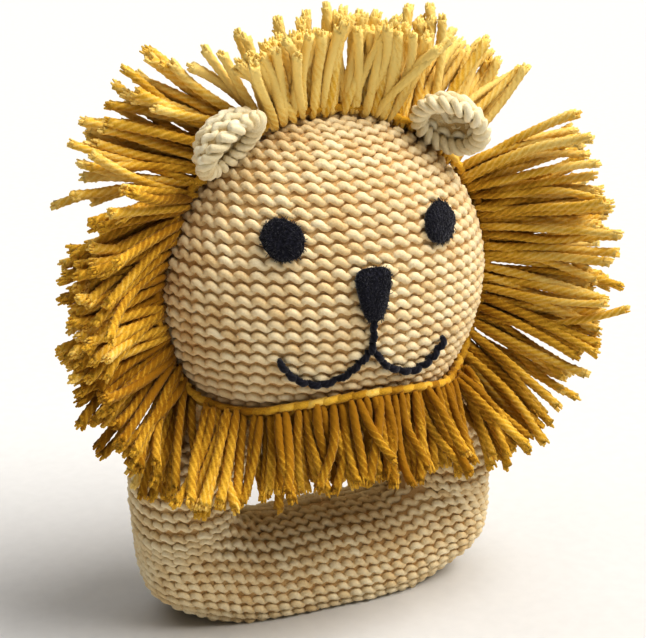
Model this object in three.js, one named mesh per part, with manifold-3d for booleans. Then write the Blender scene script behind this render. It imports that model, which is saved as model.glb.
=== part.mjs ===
// A knitted lion grip rattle: a stuffed head with a yarn mane, sewn on a stuffed ring for a small hand.
// Millimetres, +Z up, the face looks along -Y. The origin is at the middle of the base.
import * as THREE from "three";
import { mergeVertices } from "three/addons/utils/BufferGeometryUtils.js";
import Module from "manifold-3d";

const manifold = await Module();
manifold.setup();

// Driving dimensions
const GAP = 0.3; // between pieces that touch in the real object
const COVER = 1.4; // thickness of the knitted fabric

const HEAD = { y: 1.5, z: 80.2, halfWidth: 38, halfDepth: 26.6, halfHeight: 37.2 };
const CHIN_START = 22; // below the head's middle, where the underside starts to flatten
const CHIN_SOFTNESS = 11;
const SEAM_Y = HEAD.y - 2.3; // the head's front and back halves meet in this plane

const RING = { y: 6, boxiness: 2.4 };
const NECK_Z = 48.8;
const NECK_CORE_RADIUS = 4.5;
const NECK_HOLE_RADIUS = 6;

const CAPSULE = { outer: 13, wall: 1.2 };
const BEAD_RADIUS = 2.6;
const BEAD_ORBIT = 8.2; // from the capsule's middle to a bead's middle
const BEAD_OFFSETS_Y = [-6, 0, 6];

const EYE = { x: 17.4, z: 15.8, radius: 4.3 };
const FELT = 1.5;
const NOSE = { top: 9.6, bottom: -1.8, halfWidth: 4.7 };
const MOUTH = { junctionZ: -8.4, cornerX: 18.8, cornerZ: -9.6, lowX: 10.2, lowZ: -15.2, thread: 0.8 };

const EAR = { angle: 54, radius: 8.4, wall: 2.2, depth: 6.6, standOff: 1.2, forward: 9.2 };
const BAND_RADIUS = 1.3;
const TUFT_LENGTH = 28;
const TUFT_ROOT = { halfWidth: 2.4, halfThickness: 1.7 };
const TUFT_TIP = { halfWidth: 3.9, halfThickness: 2.4 };

// Colour, roughness and metalness of each material
const MATERIALS = {
  cream_knit: [0xe8d3a0, 0.95, 0],
  gold_yarn: [0xdca536, 0.9, 0],
  pale_crochet: [0xe9ddb6, 0.95, 0],
  dark_felt: [0x23232c, 1, 0],
  dark_thread: [0x24232a, 0.9, 0],
  white_fibre: [0xf2efe6, 1, 0],
  clear_shell: [0xe6e9ec, 0.3, 0],
  bright_bead: [0xc9463d, 0.4, 0],
};

const part = new THREE.Group();
part.name = "lion_grip_rattle";

function addPiece(name, geometry, materialName) {
  const [color, roughness, metalness] = MATERIALS[materialName];
  const material = new THREE.MeshStandardMaterial({ color, roughness, metalness });
  material.name = materialName;
  const mesh = new THREE.Mesh(geometry, material);
  mesh.name = name;
  part.add(mesh);
}

// ---- Building closed surfaces ----

function geometryFrom(points, triangles) {
  const geometry = new THREE.BufferGeometry();
  const coordinates = points.flatMap((p) => p.toArray());
  const inward = signedVolume(points, triangles) < 0;
  const outwardTriangles = inward ? triangles.map(([a, b, c]) => [a, c, b]) : triangles;
  geometry.setAttribute("position", new THREE.Float32BufferAttribute(coordinates, 3));
  geometry.setIndex(outwardTriangles.flat());
  geometry.computeVertexNormals();
  return geometry;
}

function signedVolume(points, triangles) {
  const cross = new THREE.Vector3();
  let total = 0;
  for (const [a, b, c] of triangles) {
    total += points[a].dot(cross.crossVectors(points[b], points[c]));
  }
  return total / 6;
}

// Two triangles for each cell between one closed row of points and the next.
function stitchRows(triangles, firstStart, secondStart, columns) {
  for (let i = 0; i < columns; i += 1) {
    const next = (i + 1) % columns;
    triangles.push([firstStart + i, secondStart + i, secondStart + next]);
    triangles.push([firstStart + i, secondStart + next, firstStart + next]);
  }
}

// Closed rows of points joined in order, with a single point closing each end.
function cappedSurface(rows, firstPole, lastPole) {
  const columns = rows[0].length;
  const points = [firstPole, ...rows.flat(), lastPole];
  const triangles = [];
  const lastStart = 1 + (rows.length - 1) * columns;
  for (let i = 0; i < columns; i += 1) {
    const next = (i + 1) % columns;
    triangles.push([0, 1 + i, 1 + next]);
    triangles.push([points.length - 1, lastStart + next, lastStart + i]);
  }
  for (let row = 0; row < rows.length - 1; row += 1) {
    stitchRows(triangles, 1 + row * columns, 1 + (row + 1) * columns, columns);
  }
  return geometryFrom(points, triangles);
}

function cappedTube(rows) {
  const middle = (row) => row.reduce((sum, p) => sum.add(p), new THREE.Vector3()).divideScalar(row.length);
  return cappedSurface(rows, middle(rows[0]), middle(rows[rows.length - 1]));
}

function loopTube(rows) {
  const columns = rows[0].length;
  const triangles = [];
  rows.forEach((_, row) => {
    stitchRows(triangles, row * columns, ((row + 1) % rows.length) * columns, columns);
  });
  return geometryFrom(rows.flat(), triangles);
}

// The same surface moved along its normals, outward for a positive distance.
function offsetSurface(geometry, distance) {
  const moved = geometry.clone();
  const position = moved.getAttribute("position");
  const normal = geometry.getAttribute("normal");
  for (let i = 0; i < position.count; i += 1) {
    position.setXYZ(
      i,
      position.getX(i) + distance * normal.getX(i),
      position.getY(i) + distance * normal.getY(i),
      position.getZ(i) + distance * normal.getZ(i),
    );
  }
  moved.computeVertexNormals();
  return moved;
}

function toSolid(geometry) {
  const bare = geometry.clone();
  bare.deleteAttribute("normal");
  bare.deleteAttribute("uv");
  const merged = mergeVertices(bare, 1e-4);
  return new manifold.Manifold(
    new manifold.Mesh({
      numProp: 3,
      vertProperties: new Float32Array(merged.getAttribute("position").array),
      triVerts: new Uint32Array(merged.getIndex().array),
    }),
  );
}

function fromSolid(solid) {
  const mesh = solid.getMesh();
  const geometry = new THREE.BufferGeometry();
  geometry.setAttribute("position", new THREE.Float32BufferAttribute(Array.from(mesh.vertProperties), 3));
  geometry.setIndex(Array.from(mesh.triVerts));
  geometry.computeVertexNormals();
  return geometry;
}

function sphere(radius, centre) {
  return toSolid(new THREE.SphereGeometry(radius, 28, 18).translate(...centre.toArray()));
}

// Everything in front of (side -1) or behind (side 1) the plane at the given y.
function halfSpace(y, side) {
  const size = 400;
  return toSolid(new THREE.BoxGeometry(size, size, size).translate(0, y + (side * size) / 2, 0));
}

function uprightRod(radius, bottom, top) {
  const rod = new THREE.CylinderGeometry(radius, radius, top - bottom, 22).rotateX(Math.PI / 2).rotateZ(0.05);
  return rod.translate(0, RING.y, (top + bottom) / 2);
}

// ---- The head's surface ----

const headCentre = new THREE.Vector3(0, HEAD.y, HEAD.z);

// The underside eases into a flatter floor that sits over the ring.
function flattenChin(height) {
  const below = Math.max(0, -height - CHIN_START);
  return height + below - CHIN_SOFTNESS * (1 - Math.exp(-below / CHIN_SOFTNESS));
}

function unflattenChin(height) {
  const below = Math.max(0, -height - CHIN_START);
  return height + below + CHIN_SOFTNESS * Math.log(1 - below / CHIN_SOFTNESS);
}

function headGeometry() {
  const rowCount = 22;
  const columns = 36;
  const rows = [];
  for (let row = 1; row < rowCount; row += 1) {
    const polar = (Math.PI * row) / rowCount;
    const ring = [];
    for (let column = 0; column < columns; column += 1) {
      const around = (2 * Math.PI * column) / columns;
      ring.push(
        new THREE.Vector3(
          HEAD.halfWidth * Math.sin(polar) * Math.cos(around),
          HEAD.y + HEAD.halfDepth * Math.sin(polar) * Math.sin(around),
          HEAD.z + flattenChin(HEAD.halfHeight * Math.cos(polar)),
        ),
      );
    }
    rows.push(ring);
  }
  const top = new THREE.Vector3(0, HEAD.y, HEAD.z + HEAD.halfHeight);
  const bottom = new THREE.Vector3(0, HEAD.y, HEAD.z + flattenChin(-HEAD.halfHeight));
  return cappedSurface(rows, top, bottom);
}

function headNormal(x, y, height) {
  const round = unflattenChin(height);
  return new THREE.Vector3(
    x / HEAD.halfWidth ** 2,
    (y - HEAD.y) / HEAD.halfDepth ** 2,
    round / HEAD.halfHeight ** 2,
  ).normalize();
}

// A point on the front of the head, at x and at a height from the head's middle, lifted off along the normal.
function onFace(x, height, lift) {
  const round = unflattenChin(height);
  const rest = Math.max(0, 1 - (x / HEAD.halfWidth) ** 2 - (round / HEAD.halfHeight) ** 2);
  const y = HEAD.y - HEAD.halfDepth * Math.sqrt(rest);
  const point = new THREE.Vector3(x, y, HEAD.z + height);
  return point.addScaledVector(headNormal(x, y, height), lift);
}

// A point on the seam between the head's halves. Angles run from +X towards +Z.
function onSeam(angleDeg, lift) {
  const angle = THREE.MathUtils.degToRad(angleDeg);
  const inset = Math.sqrt(1 - ((SEAM_Y - HEAD.y) / HEAD.halfDepth) ** 2);
  const x = HEAD.halfWidth * inset * Math.cos(angle);
  const height = flattenChin(HEAD.halfHeight * inset * Math.sin(angle));
  const point = new THREE.Vector3(x, SEAM_Y, HEAD.z + height);
  return point.addScaledVector(headNormal(x, SEAM_Y, height), lift);
}

// ---- The ring's surface ----

// Half of the ring, from the bottom bar's middle up to the top bar's middle. Each station joins a point on
// the grip hole's edge to one on the outside, as inner x, inner z, outer x, outer z, half depth along Y.
const RING_STATIONS = [
  [0, 22.5, 0, -4.6, 13.2],
  [11, 22.5, 17, -4.2, 13.2],
  [17.6, 23.4, 31, 1, 13.2],
  [20.8, 26, 41.8, 9, 13],
  [21.6, 29.4, 44, 23, 12.8],
  [20.6, 33, 43.4, 40, 12.4],
  [16.6, 35.6, 34, 51, 11.4],
  [9, 36.2, 16, 47.8, 9.6],
  [0, 36.2, 0, 47.2, 9],
];

// The grip hole's edge and the outside outline, as closed curves that share one parameter.
// Their y holds the half depth.
function ringOutlines() {
  const outlineOf = (xAt, zAt) => {
    const right = RING_STATIONS.map((station) => new THREE.Vector3(station[xAt], station[4], station[zAt]));
    const left = right.slice(1, -1).reverse().map((p) => new THREE.Vector3(-p.x, p.y, p.z));
    return new THREE.CatmullRomCurve3([...right, ...left], true);
  };
  return [outlineOf(0, 1), outlineOf(2, 3)];
}

// A rounded square section: boxiness 2 is an ellipse.
function boxyCircle(angle, boxiness) {
  const soften = (value) => Math.sign(value) * Math.abs(value) ** (2 / boxiness);
  return [soften(Math.cos(angle)), soften(Math.sin(angle))];
}

function ringGeometry(steps, sides) {
  const [inner, outer] = ringOutlines();
  const rows = [];
  for (let step = 0; step < steps; step += 1) {
    const near = inner.getPoint(step / steps);
    const far = outer.getPoint(step / steps);
    const row = [];
    for (let side = 0; side < sides; side += 1) {
      const [outward, sideways] = boxyCircle((2 * Math.PI * side) / sides, RING.boxiness);
      const point = near.clone().lerp(far, (1 + outward) / 2);
      point.y = RING.y + near.y * sideways;
      point.z = Math.max(0, point.z);
      row.push(point);
    }
    rows.push(row);
  }
  return loopTube(rows);
}

// ---- Pieces of the ring ----

function addRing() {
  const outside = ringGeometry(48, 18);
  const inside = toSolid(offsetSurface(outside, -COVER));
  const hole = toSolid(uprightRod(NECK_HOLE_RADIUS, NECK_Z - 7, NECK_Z + 5));
  addPiece("ring_cover", fromSolid(toSolid(outside).subtract(inside).subtract(hole)), "cream_knit");
  addPiece("ring_stuffing", offsetSurface(outside, -COVER - GAP), "white_fibre");
}

// A short sewn neck: a stitched seam ring round a plug of stuffing.
function addNeck() {
  const core = uprightRod(NECK_CORE_RADIUS, NECK_Z - 1.9, NECK_Z + 1.9);
  addPiece("neck_stuffing", core, "white_fibre");
  const outer = toSolid(uprightRod(NECK_HOLE_RADIUS + 1.6, NECK_Z - 0.5, NECK_Z + 0.5));
  const bore = toSolid(uprightRod(NECK_CORE_RADIUS + 0.5, NECK_Z - 2, NECK_Z + 2));
  addPiece("neck_seam", fromSolid(outer.subtract(bore)), "cream_knit");
}

// ---- Pieces of the head ----

function addHead() {
  const outside = headGeometry();
  const inside = toSolid(offsetSurface(outside, -COVER));
  const hole = toSolid(uprightRod(NECK_HOLE_RADIUS + 1, NECK_Z - 4, NECK_Z + 8));
  const cover = toSolid(outside).subtract(inside).subtract(hole);
  const pocket = sphere(CAPSULE.outer + GAP, headCentre);
  const stuffing = toSolid(offsetSurface(outside, -COVER - GAP)).subtract(pocket);
  for (const [label, side] of [["front", -1], ["back", 1]]) {
    const coverHalf = cover.intersect(halfSpace(SEAM_Y + (side * GAP) / 2, side));
    const stuffingHalf = stuffing.intersect(halfSpace(HEAD.y + (side * GAP) / 2, side));
    addPiece(side < 0 ? "face_cover" : "back_cover", fromSolid(coverHalf), "cream_knit");
    addPiece(`head_stuffing_${label}`, fromSolid(stuffingHalf), "white_fibre");
  }
}

// A hollow ball in two halves, with loose beads inside, makes the rattle.
function addRattle() {
  const shell = sphere(CAPSULE.outer, headCentre).subtract(sphere(CAPSULE.outer - CAPSULE.wall, headCentre));
  for (const [label, side] of [["front", -1], ["back", 1]]) {
    const half = halfSpace(HEAD.y + (side * GAP) / 2, side);
    addPiece(`rattle_shell_${label}`, fromSolid(shell.intersect(half)), "clear_shell");
  }
  BEAD_OFFSETS_Y.forEach((offset, index) => {
    const z = HEAD.z - Math.sqrt(BEAD_ORBIT ** 2 - offset ** 2);
    const bead = new THREE.SphereGeometry(BEAD_RADIUS, 14, 10).translate(0, HEAD.y + offset, z);
    addPiece(`rattle_bead_${index + 1}`, fromSolid(toSolid(bead)), "bright_bead");
  });
}

// A flat piece that lies on the face. outlineAt gives the outline's x and height for a fraction of the
// way round.
function facePatch(centre, outlineAt, thickness) {
  const columns = 28;
  const rowAt = (reach, lift) => {
    const row = [];
    for (let i = 0; i < columns; i += 1) {
      const [x, height] = outlineAt(i / columns);
      row.push(onFace(centre[0] + (x - centre[0]) * reach, centre[1] + (height - centre[1]) * reach, lift));
    }
    return row;
  };
  const low = 0.45;
  const high = low + thickness;
  const rows = [rowAt(0.5, high), rowAt(0.92, high), rowAt(1, high - 0.35), rowAt(1, low), rowAt(0.5, low)];
  return cappedSurface(rows, onFace(...centre, high), onFace(...centre, low));
}

function addEyes() {
  for (const [label, side] of [["left", -1], ["right", 1]]) {
    const centre = [side * EYE.x, EYE.z];
    const slope = headNormal(EYE.x, onFace(EYE.x, EYE.z, 0).y, EYE.z);
    const squeezeX = Math.hypot(slope.y, slope.z);
    const squeezeZ = Math.hypot(slope.y, slope.x);
    const outline = (t) => [
      centre[0] + EYE.radius * squeezeX * Math.cos(2 * Math.PI * t),
      centre[1] + EYE.radius * squeezeZ * Math.sin(2 * Math.PI * t),
    ];
    addPiece(`${label}_eye`, facePatch(centre, outline, FELT), "dark_felt");
  }
}

// A shield: nearly square at the top, drawn in to a rounded point.
function addNose() {
  const middle = (NOSE.top + NOSE.bottom) / 2;
  const outline = (t) => {
    const [across, up] = boxyCircle(2 * Math.PI * t, 3.2);
    const taper = 0.72 + 0.28 * up;
    return [NOSE.halfWidth * across * taper, middle + ((NOSE.top - NOSE.bottom) / 2) * up];
  };
  addPiece("nose", facePatch([0, middle], outline, FELT), "dark_felt");
}

// A thread stitched along the face, through points given as x and height.
function faceThread(stops) {
  const path = new THREE.CatmullRomCurve3(stops.map(([x, height]) => new THREE.Vector3(x, 0, height)));
  const rows = [];
  const steps = 14;
  for (let step = 0; step <= steps; step += 1) {
    const stop = path.getPoint(step / steps);
    const heading = path.getTangent(step / steps);
    const across = new THREE.Vector2(-heading.z, heading.x).multiplyScalar(MOUTH.thread);
    const low = 0.45;
    const high = low + 2 * MOUTH.thread;
    const left = [stop.x - across.x, stop.z - across.y];
    const right = [stop.x + across.x, stop.z + across.y];
    rows.push([
      onFace(...left, low + 0.3),
      onFace(stop.x, stop.z, low),
      onFace(...right, low + 0.3),
      onFace(...right, high - 0.4),
      onFace(stop.x, stop.z, high),
      onFace(...left, high - 0.4),
    ]);
  }
  return cappedTube(rows);
}

function addMouth() {
  const stem = faceThread([[0, NOSE.bottom - GAP], [0, -5], [0, MOUTH.junctionZ + 0.5]]);
  addPiece("mouth_stem", stem, "dark_thread");
  for (const [label, side] of [["left", -1], ["right", 1]]) {
    const arc = faceThread([
      [side * 1.3, MOUTH.junctionZ - 1.2],
      [side * 4.4, MOUTH.lowZ + 2.4],
      [side * MOUTH.lowX, MOUTH.lowZ],
      [side * 15.4, MOUTH.lowZ + 1.6],
      [side * MOUTH.cornerX, MOUTH.cornerZ],
    ]);
    addPiece(`mouth_${label}`, arc, "dark_thread");
  }
}

// A crocheted cup, open towards the face, standing on the head just in front of the mane.
function addEars() {
  for (const [label, side] of [["left", -1], ["right", 1]]) {
    const angle = side > 0 ? EAR.angle : 180 - EAR.angle;
    const root = onSeam(angle, EAR.standOff);
    const outward = headNormal(root.x, SEAM_Y, root.z - HEAD.z);
    const opening = new THREE.Vector3(side * -0.5, -0.62, -0.6).normalize();
    const across = new THREE.Vector3().crossVectors(opening, outward).normalize();
    const up = new THREE.Vector3().crossVectors(across, opening);
    const centre = root.clone().addScaledVector(up, EAR.radius * 0.7);
    centre.y = SEAM_Y - EAR.forward;
    const bowlRow = (radius, depth, polar) => {
      const row = [];
      for (let i = 0; i < 24; i += 1) {
        const around = (2 * Math.PI * i) / 24;
        const point = centre.clone();
        point.addScaledVector(across, radius * Math.sin(polar) * Math.cos(around));
        point.addScaledVector(up, radius * 0.86 * Math.sin(polar) * Math.sin(around));
        point.addScaledVector(opening, -depth * Math.cos(polar));
        row.push(point);
      }
      return row;
    };
    const inner = EAR.radius - EAR.wall;
    const innerDepth = EAR.depth - EAR.wall;
    const angles = [0.25, 0.5, 0.75, 1].map((f) => (f * Math.PI) / 2);
    const rows = [
      ...angles.map((polar) => bowlRow(EAR.radius, EAR.depth, polar)),
      ...angles.reverse().map((polar) => bowlRow(inner, innerDepth, polar)),
    ];
    const back = centre.clone().addScaledVector(opening, -EAR.depth);
    const floor = centre.clone().addScaledVector(opening, -innerDepth);
    addPiece(`${label}_ear`, cappedSurface(rows, back, floor), "pale_crochet");
  }
}

// ---- The mane ----

// The band that holds the fringe follows the seam, then comes forward under the chin.
// Under the chin it passes through these points, as x and height from the head's middle.
const CHIN_BAND = [
  [-30, -21.4],
  [-22.5, -22.4],
  [-13, -20.2],
  [0, -18.8],
  [13, -20.2],
  [22.5, -22.4],
  [30, -21.4],
];

function bandPath(lift) {
  const stops = [];
  for (let angle = -24; angle <= 204; angle += 12) {
    stops.push(onSeam(angle, lift));
  }
  const chinStops = CHIN_BAND.map(([x, height]) => onFace(x, height, lift));
  return new THREE.CatmullRomCurve3([...stops, ...chinStops], true);
}

function addBand() {
  const path = bandPath(BAND_RADIUS + GAP + 0.1);
  const steps = 72;
  const rows = [];
  for (let step = 0; step < steps; step += 1) {
    const centre = path.getPointAt(step / steps);
    const along = path.getTangentAt(step / steps);
    const outward = centre.clone().sub(headCentre).normalize();
    const across = new THREE.Vector3().crossVectors(along, outward).normalize();
    const up = new THREE.Vector3().crossVectors(across, along);
    const row = [];
    for (let i = 0; i < 8; i += 1) {
      const around = (2 * Math.PI * i) / 8;
      const point = centre.clone().addScaledVector(across, BAND_RADIUS * Math.cos(around));
      row.push(point.addScaledVector(up, BAND_RADIUS * Math.sin(around)));
    }
    rows.push(row);
  }
  addPiece("mane_band", loopTube(rows), "gold_yarn");
}

// One bunch of fringe yarn: a flat bundle that spreads and thickens towards its cut end.
function tuft(root, heading, across, length) {
  const side = across.clone().addScaledVector(heading, -across.dot(heading)).normalize();
  const face = new THREE.Vector3().crossVectors(heading, side);
  const rows = [];
  const steps = 5;
  for (let step = 0; step <= steps; step += 1) {
    const t = step / steps;
    const halfWidth = THREE.MathUtils.lerp(TUFT_ROOT.halfWidth, TUFT_TIP.halfWidth, t);
    const swell = Math.sin((Math.PI * t) / 2);
    const halfThickness = THREE.MathUtils.lerp(TUFT_ROOT.halfThickness, TUFT_TIP.halfThickness, swell);
    const centre = root.clone().addScaledVector(heading, length * t);
    const row = [];
    for (let i = 0; i < 10; i += 1) {
      const [wide, thick] = boxyCircle((2 * Math.PI * i) / 10, 2.6);
      const point = centre.clone().addScaledVector(side, halfWidth * wide);
      row.push(point.addScaledVector(face, halfThickness * thick));
    }
    rows.push(row);
  }
  return cappedTube(rows);
}

// Fringe sections of the right half, mirrored for the left. sweep leans the yarn forward and droop turns
// it down.
const SEAM_SECTIONS = [
  { name: "upper", angles: [40, 51, 62], sweep: -13, droop: 0 },
  { name: "side", angles: [-5, 6, 17, 28], sweep: 17, droop: 0 },
  { name: "lower", angles: [-17, -27], sweep: 26, droop: 8 },
];
const TOP_SECTION = { angles: [75, 85, 95, 105], sweep: 14, length: 22 };
const CHEEK_TUFT = { x: 27.6, height: -22.6, length: 22 };
const BEARD_TUFTS_X = [-20, -12, -4, 4, 12, 20];
const BEARD_LENGTH = 17;

function seamTuft(angle, sweep, droop, length) {
  const root = onSeam(angle, 2 * BAND_RADIUS + GAP * 2);
  const turned = THREE.MathUtils.degToRad(angle - droop);
  const lean = THREE.MathUtils.degToRad(sweep);
  const heading = new THREE.Vector3(Math.cos(turned), -Math.tan(lean), Math.sin(turned)).normalize();
  const across = new THREE.Vector3(-Math.sin(turned), 0, Math.cos(turned));
  return tuft(root.addScaledVector(heading, TUFT_ROOT.halfThickness * 0.4), heading, across, length);
}

function mirrored(geometry) {
  const copy = geometry.clone().scale(-1, 1, 1);
  const index = copy.getIndex().array;
  for (let i = 0; i < index.length; i += 3) {
    [index[i + 1], index[i + 2]] = [index[i + 2], index[i + 1]];
  }
  copy.computeVertexNormals();
  return copy;
}

function addMane() {
  TOP_SECTION.angles.forEach((angle, index) => {
    addPiece(`mane_top_${index + 1}`, seamTuft(angle, TOP_SECTION.sweep, 0, TOP_SECTION.length), "gold_yarn");
  });
  for (const section of SEAM_SECTIONS) {
    section.angles.forEach((angle, index) => {
      const right = seamTuft(angle, section.sweep, section.droop, TUFT_LENGTH);
      addPiece(`mane_${section.name}_right_${index + 1}`, right, "gold_yarn");
      addPiece(`mane_${section.name}_left_${index + 1}`, mirrored(right), "gold_yarn");
    });
  }
}

// The place on the band under the chin where a hanging tuft starts.
function chinRoot(x, height) {
  return onFace(x, height, BAND_RADIUS + GAP + 0.1).add(new THREE.Vector3(0, 0, -BAND_RADIUS - 1.9));
}

// The yarn over the shoulders and under the chin hangs down in front of the ring.
function addBeard() {
  const hang = new THREE.Vector3(0, -0.12, -1).normalize();
  const across = new THREE.Vector3(1, 0, 0);
  BEARD_TUFTS_X.forEach((x, index) => {
    const heading = hang.clone().setX(x * 0.006).normalize();
    const root = chinRoot(x, bandHeight(x)).add(new THREE.Vector3(0, -0.4, 0));
    addPiece(`beard_${index + 1}`, tuft(root, heading, across, BEARD_LENGTH), "gold_yarn");
  });
  const root = chinRoot(CHEEK_TUFT.x, CHEEK_TUFT.height).add(new THREE.Vector3(1.2, -2.6, 0));
  const heading = new THREE.Vector3(0.42, -0.38, -1).normalize();
  const right = tuft(root, heading, new THREE.Vector3(0.9, 0.5, 0), CHEEK_TUFT.length);
  addPiece("mane_cheek_right", right, "gold_yarn");
  addPiece("mane_cheek_left", mirrored(right), "gold_yarn");
}

function bandHeight(x) {
  const reach = Math.abs(x);
  const outer = CHIN_BAND.slice(3);
  for (let i = 0; i < outer.length - 1; i += 1) {
    const [nearX, nearZ] = outer[i];
    const [farX, farZ] = outer[i + 1];
    if (reach <= farX) {
      return THREE.MathUtils.lerp(nearZ, farZ, (reach - nearX) / (farX - nearX));
    }
  }
  return outer.at(-1)[1];
}

addRing();
addNeck();
addHead();
addRattle();
addEyes();
addNose();
addMouth();
addEars();
addBand();
addMane();
addBeard();

export default part;
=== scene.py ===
import bpy
import numpy as np
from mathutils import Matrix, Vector


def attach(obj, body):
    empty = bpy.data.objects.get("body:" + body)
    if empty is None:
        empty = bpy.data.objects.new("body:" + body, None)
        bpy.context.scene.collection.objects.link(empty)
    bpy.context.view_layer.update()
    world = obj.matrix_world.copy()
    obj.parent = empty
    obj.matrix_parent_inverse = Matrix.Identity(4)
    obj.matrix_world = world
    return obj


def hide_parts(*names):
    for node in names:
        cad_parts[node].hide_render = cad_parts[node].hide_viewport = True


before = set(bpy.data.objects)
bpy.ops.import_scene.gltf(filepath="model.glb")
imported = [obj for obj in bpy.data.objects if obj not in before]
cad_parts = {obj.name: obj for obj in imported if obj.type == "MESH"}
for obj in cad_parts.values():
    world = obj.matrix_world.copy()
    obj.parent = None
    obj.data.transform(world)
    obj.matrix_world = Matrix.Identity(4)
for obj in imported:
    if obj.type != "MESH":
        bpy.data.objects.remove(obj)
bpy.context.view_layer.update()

MM = 0.001
TURN = 2 * np.pi

# ---- Dimensions shared with the CAD part ----

HEAD_CENTRE = np.array([0.0, 1.5, 80.2])
HEAD_HALF = np.array([38.0, 26.6, 37.2])  # half width, half depth, half height
CHIN_START = 22.0
CHIN_SOFTNESS = 11.0
SEAM_Y = -0.8
RING_Y = 6.0
RING_BOXINESS = 2.4
NECK_Z = 48.8
BAND_LIFT = 1.7  # of the band's centreline above the head's surface

EYE_X, EYE_Z, EYE_RADIUS = 17.4, 15.8, 4.3
FELT = 1.5
FELT_LIFT = 0.45
NOSE_TOP, NOSE_BOTTOM, NOSE_HALF_WIDTH = 9.6, -1.8, 4.7
MOUTH_JUNCTION_Z = -8.4
MOUTH_CORNER = (18.8, -9.6)
MOUTH_LOW = (10.2, -15.2)

EAR_ANGLE, EAR_RADIUS, EAR_WALL, EAR_STAND_OFF, EAR_FORWARD = 54.0, 8.4, 2.2, 1.2, 9.2
EAR_SQUEEZE = 0.86
EAR_DEPTH = 6.6
EAR_INSET = 0.6  # of the cup's skin from the CAD surface
EAR_RIM_STITCHES = 19

# ---- Gathering faces into meshes ----


class Shape:
    """Points, faces and a tone for each point, gathered until they become one mesh."""

    def __init__(self):
        self.points, self.tones, self.quads, self.triangles = [], [], [], []
        self.count = 0

    def add(self, points, tones, quads, triangles):
        self.points.append(points)
        self.tones.append(np.broadcast_to(tones, len(points)))
        self.quads.append(np.asarray(quads, int).reshape(-1, 4) + self.count)
        self.triangles.append(np.asarray(triangles, int).reshape(-1, 3) + self.count)
        self.count += len(points)


def make_piece(shape, name, material, body, replaced=(), floor=None):
    """Turns a shape into a mesh object that rides on a body."""
    points = np.concatenate(shape.points)
    if floor is not None:
        points[:, 2] = np.maximum(points[:, 2], floor)
    quads = np.concatenate(shape.quads)
    triangles = np.concatenate(shape.triangles)
    starts = [np.arange(len(quads)) * 4, 4 * len(quads) + np.arange(len(triangles)) * 3]
    corners = np.concatenate([quads.ravel(), triangles.ravel()])
    mesh = bpy.data.meshes.new(name)
    mesh.vertices.add(len(points))
    mesh.vertices.foreach_set("co", (points * MM).astype(np.float32).ravel())
    mesh.loops.add(len(corners))
    mesh.loops.foreach_set("vertex_index", corners.astype(np.int32))
    mesh.polygons.add(len(quads) + len(triangles))
    mesh.polygons.foreach_set("loop_start", np.concatenate(starts).astype(np.int32))
    mesh.polygons.foreach_set("use_smooth", np.ones(len(mesh.polygons), bool))
    tone = mesh.attributes.new("tone", "FLOAT", "POINT")
    tone.data.foreach_set("value", np.concatenate(shape.tones).astype(np.float32))
    mesh.update(calc_edges=True)
    mesh.materials.append(material)
    piece = bpy.data.objects.new(name, mesh)
    bpy.context.scene.collection.objects.link(piece)
    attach(piece, body)
    if replaced:
        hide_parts(*replaced)
    return piece


def unit(vectors):
    return vectors / np.maximum(np.linalg.norm(vectors, axis=-1, keepdims=True), 1e-9)


def smooth_path(stops, count):
    """A smooth curve through the stops, as count points. Works for stops with any number of columns."""
    stops = np.asarray(stops, float)
    padded = np.concatenate([2 * stops[:1] - stops[1:2], stops, 2 * stops[-1:] - stops[-2:-1]])
    place = np.linspace(0, len(stops) - 1, count)
    index = np.minimum(place.astype(int), len(stops) - 2)
    t = (place - index)[:, None]
    before, start, end, after = (padded[index + k] for k in range(4))
    return 0.5 * (
        2 * start
        + (end - before) * t
        + (2 * before - 5 * start + 4 * end - after) * t**2
        + (3 * start - before - 3 * end + after) * t**3
    )


PLY_GROOVE_SHADE = 0.2  # painted shade: how much lighter a rope is coloured on its plies than in the grooves between them


def tube_faces(count, steps, sides):
    """Quads and end triangles of closed tubes.

    The points run tube by tube: ring by ring along a tube, then its two end points.
    """
    size = steps * sides + 2
    first = np.arange(count)[:, None, None] * size
    ring = np.arange(steps - 1)[None, :, None] * sides
    side = np.arange(sides)[None, None, :]
    next_side = (side + 1) % sides
    low, low_next = first + ring + side, first + ring + next_side
    quads = np.stack([low, low + sides, low_next + sides, low_next], -1).reshape(-1, 4)
    base = np.arange(count)[:, None] * size
    side, next_side = np.arange(sides)[None, :], (np.arange(sides)[None, :] + 1) % sides
    last = base + (steps - 1) * sides
    starts = np.stack([base + steps * sides + 0 * side, base + side, base + next_side], -1)
    ends = np.stack([base + steps * sides + 1 + 0 * side, last + next_side, last + side], -1)
    return quads, np.concatenate([starts.reshape(-1, 3), ends.reshape(-1, 3)])


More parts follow.
